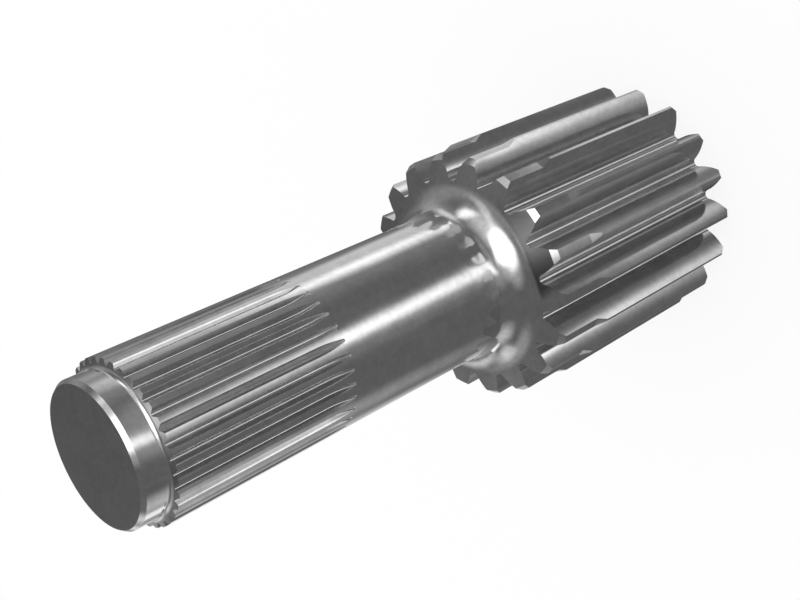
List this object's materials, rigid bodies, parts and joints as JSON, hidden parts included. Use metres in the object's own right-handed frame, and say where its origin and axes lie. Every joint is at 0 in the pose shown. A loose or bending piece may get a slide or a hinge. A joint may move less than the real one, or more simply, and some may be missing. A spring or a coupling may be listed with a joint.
{
  "type": "sun gear",
  "caption": "Sun gear on a long shaft: wide spur gear with stepped tooth tips, plain journal, straight spline and short pilot, in one piece of polished steel.",
  "frame": {"origin": "middle of the plain end face at the gear's end, on which the part stands", "axes": "+Z along the shaft's axis towards the splined end, +X through the middle of one gear tooth space"},
  "size_m": [0.0786, 0.0796, 0.216],
  "materials": {
    "steel": "polished dark steel, ground and lightly oiled"
  },
  "bodies": {
    "root": {"sun_gear": "steel"}
  },
  "joints": []
}
